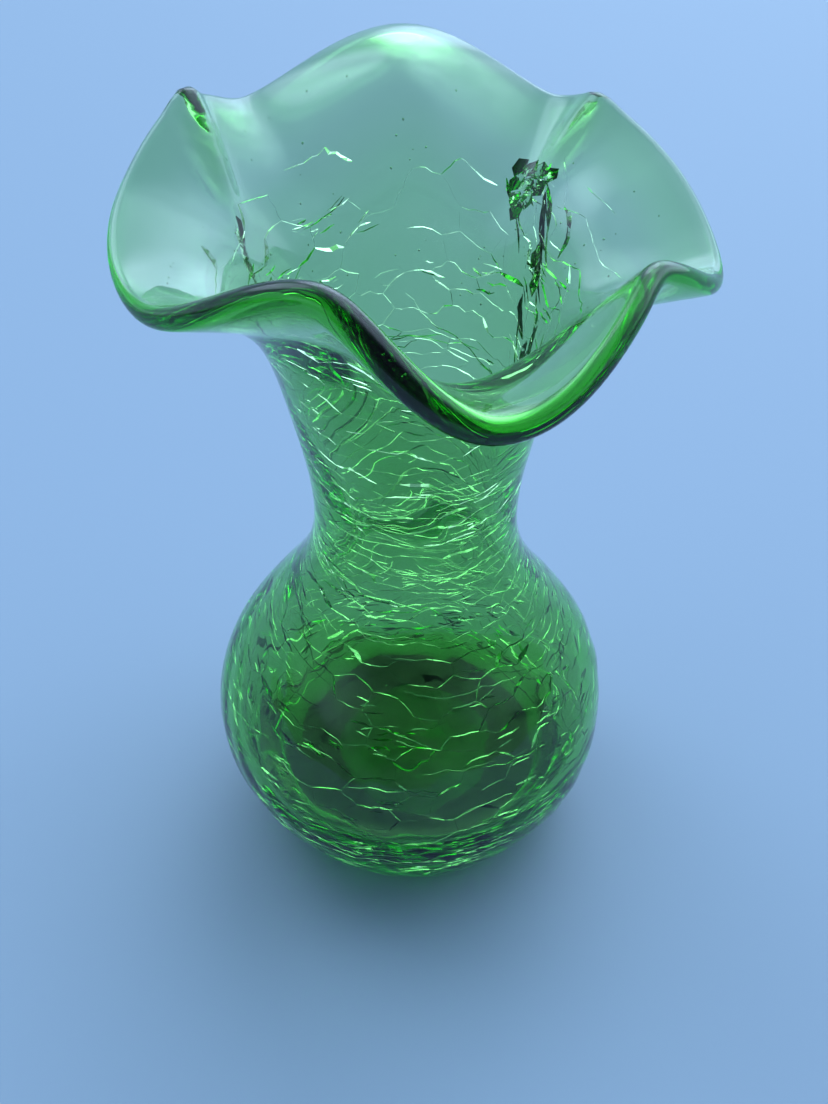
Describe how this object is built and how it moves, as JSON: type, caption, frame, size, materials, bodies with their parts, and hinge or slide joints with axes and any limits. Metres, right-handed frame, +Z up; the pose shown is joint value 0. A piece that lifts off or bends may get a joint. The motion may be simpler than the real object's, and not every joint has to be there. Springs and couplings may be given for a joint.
{
  "type": "bud vase",
  "caption": "Hand-blown green crackle glass bud vase with a squat bulb, a narrow neck and a flared mouth whose rim is crimped into lobes.",
  "frame": {"origin": "centre of the foot, at the level the vase stands on", "axes": "+Z up along the vase's axis, -Y towards the front lobe of the rim, +X towards the right lobe"},
  "size_m": [0.0913, 0.0886, 0.1433],
  "materials": {
    "green_glass": "polished"
  },
  "bodies": {
    "root": {"base": "green_glass", "pontil_scar": "green_glass", "bulb": "green_glass", "shoulder": "green_glass", "neck": "green_glass", "mouth": "green_glass", "lip": "green_glass"}
  },
  "joints": []
}
